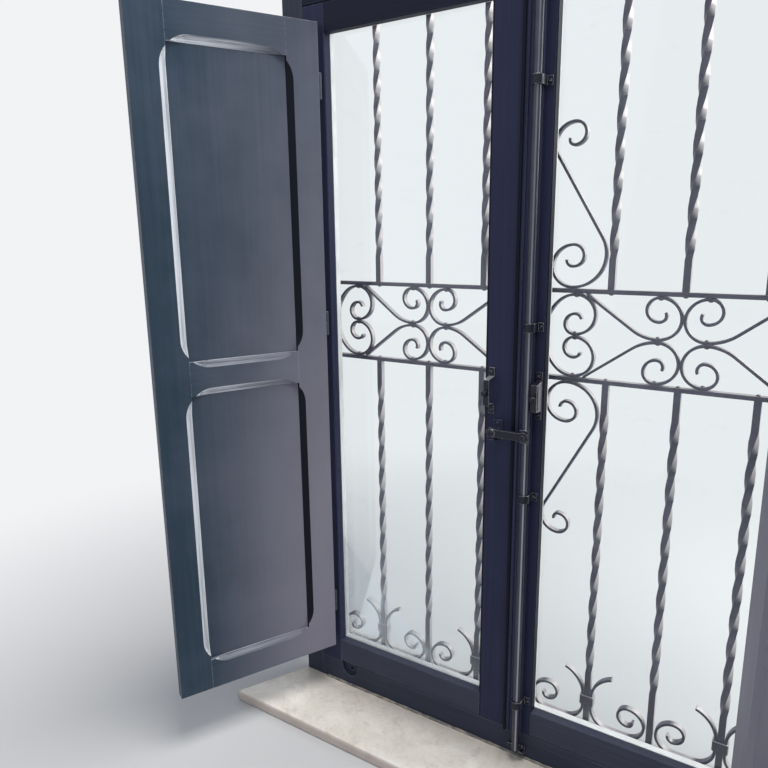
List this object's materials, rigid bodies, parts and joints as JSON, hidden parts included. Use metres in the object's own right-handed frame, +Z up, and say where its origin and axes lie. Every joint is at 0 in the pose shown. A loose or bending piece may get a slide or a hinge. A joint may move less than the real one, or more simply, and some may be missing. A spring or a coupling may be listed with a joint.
{
  "type": "window with shutters",
  "caption": "Two-leaf timber window in its frame, with inner panelled shutters, a turning bolt rod and lever, a marble sill and an outside grille of twisted bars and scrolls.",
  "frame": {"origin": "middle of the marble sill's underside, in the plane of the leaves' room faces", "axes": "+X to the right seen from the room, +Y to the outside, +Z up"},
  "size_m": [1.1806, 0.4943, 1.532],
  "materials": {
    "frame_paint": "worn dark satin paint",
    "leaf_paint": "worn dark satin paint",
    "shutter_paint": "brushed slate paint, rubbed pale at its edges",
    "bead_paint": "pale matte paint",
    "clear_glass": "clear",
    "marble": "honed, mottled",
    "bolt_steel": "dark paint rubbed to steel",
    "hinge_metal": "painted over with the timber",
    "grille_paint": "pale weathered paint on wrought iron"
  },
  "bodies": {
    "frame": {"frame_jamb_left": "frame_paint", "frame_jamb_right": "frame_paint", "frame_head": "frame_paint", "frame_bottom_rail": "frame_paint", "marble_sill": "marble", "leaf_hinge_frame_halves": "hinge_metal", "rod_keepers": "bolt_steel", "grille_rails": "grille_paint", "grille_posts": "grille_paint", "twisted_bars_lower": "grille_paint", "twisted_bars_upper": "grille_paint", "band_scrolls": "grille_paint", "lyre_scrolls": "grille_paint", "foot_scrolls": "grille_paint", "grille_collars": "grille_paint"},
    "left_leaf": {"left_leaf_outer_stile": "leaf_paint", "left_leaf_meeting_stile": "leaf_paint", "left_leaf_top_rail": "leaf_paint", "left_leaf_bottom_rail": "leaf_paint", "left_glass": "clear_glass", "left_glazing_beads": "bead_paint", "left_leaf_hinge_halves": "hinge_metal", "left_shutter_pins": "hinge_metal", "left_catch_bracket": "bolt_steel", "lever_rest": "bolt_steel"},
    "left_shutter": {"left_shutter_hinge_stile": "shutter_paint", "left_shutter_free_stile": "shutter_paint", "left_shutter_top_rail": "shutter_paint", "left_shutter_middle_rail": "shutter_paint", "left_shutter_bottom_rail": "shutter_paint", "left_shutter_upper_panel": "shutter_paint", "left_shutter_lower_panel": "shutter_paint", "left_shutter_hinge_halves": "hinge_metal"},
    "left_catch": {"left_catch_tongue": "bolt_steel"},
    "right_leaf": {"right_leaf_outer_stile": "leaf_paint", "right_leaf_meeting_stile": "leaf_paint", "right_leaf_top_rail": "leaf_paint", "right_leaf_bottom_rail": "leaf_paint", "right_glass": "clear_glass", "right_glazing_beads": "bead_paint", "right_leaf_hinge_halves": "hinge_metal", "right_shutter_pins": "hinge_metal", "right_catch_bracket": "bolt_steel", "astragal": "leaf_paint", "rod_guides": "bolt_steel"},
    "right_shutter": {"right_shutter_hinge_stile": "shutter_paint", "right_shutter_free_stile": "shutter_paint", "right_shutter_top_rail": "shutter_paint", "right_shutter_middle_rail": "shutter_paint", "right_shutter_bottom_rail": "shutter_paint", "right_shutter_upper_panel": "shutter_paint", "right_shutter_lower_panel": "shutter_paint", "right_shutter_hinge_halves": "hinge_metal"},
    "right_catch": {"right_catch_tongue": "bolt_steel"},
    "rod": {"espagnolette_rod": "bolt_steel", "rod_hooks": "bolt_steel", "lever_pin": "bolt_steel"},
    "lever": {"lever": "bolt_steel"}
  },
  "joints": [
    {"name": "right_leaf_hinge", "type": "hinge", "parent": "frame", "child": "right_leaf", "pos_m": [0.45675, -0.008, 0.7765], "axis": [0, 0, 1], "range_deg": [0, 90]},
    {"name": "left_leaf_hinge", "type": "hinge", "parent": "frame", "child": "left_leaf", "pos_m": [-0.45675, -0.008, 0.7765], "axis": [0, 0, 1], "range_deg": [-90, 0]},
    {"name": "left_shutter_hinge", "type": "hinge", "parent": "left_leaf", "child": "left_shutter", "pos_m": [-0.41345, -0.009, 0.7825], "axis": [0, 0, 1], "range_deg": [-29, 115.7]},
    {"name": "right_shutter_hinge", "type": "hinge", "parent": "right_leaf", "child": "right_shutter", "pos_m": [0.41345, -0.009, 0.7825], "axis": [0, 0, -1], "range_deg": [-33, 112]},
    {"name": "rod_turn", "type": "hinge", "parent": "right_leaf", "child": "rod", "pos_m": [0.03275, -0.0205, 0.69479], "axis": [0, 0, 1], "range_deg": [-15, 90]},
    {"name": "lever_lift", "type": "hinge", "parent": "rod", "child": "lever", "pos_m": [0.03275, -0.029, 0.69479], "axis": [0, 1, 0], "range_deg": [0, 40]},
    {"name": "left_catch_turn", "type": "hinge", "parent": "left_leaf", "child": "left_catch", "pos_m": [-0.04225, -0.024, 0.76548], "axis": [0, 1, 0], "range_deg": [0, 90]},
    {"name": "right_catch_turn", "type": "hinge", "parent": "right_leaf", "child": "right_catch", "pos_m": [0.04775, -0.024, 0.76548], "axis": [0, -1, 0], "range_deg": [0, 90]}
  ],
  "couplings": [
    {"joint": "left_leaf_hinge", "follows": "right_leaf_hinge", "ratio": -1}
  ]
}
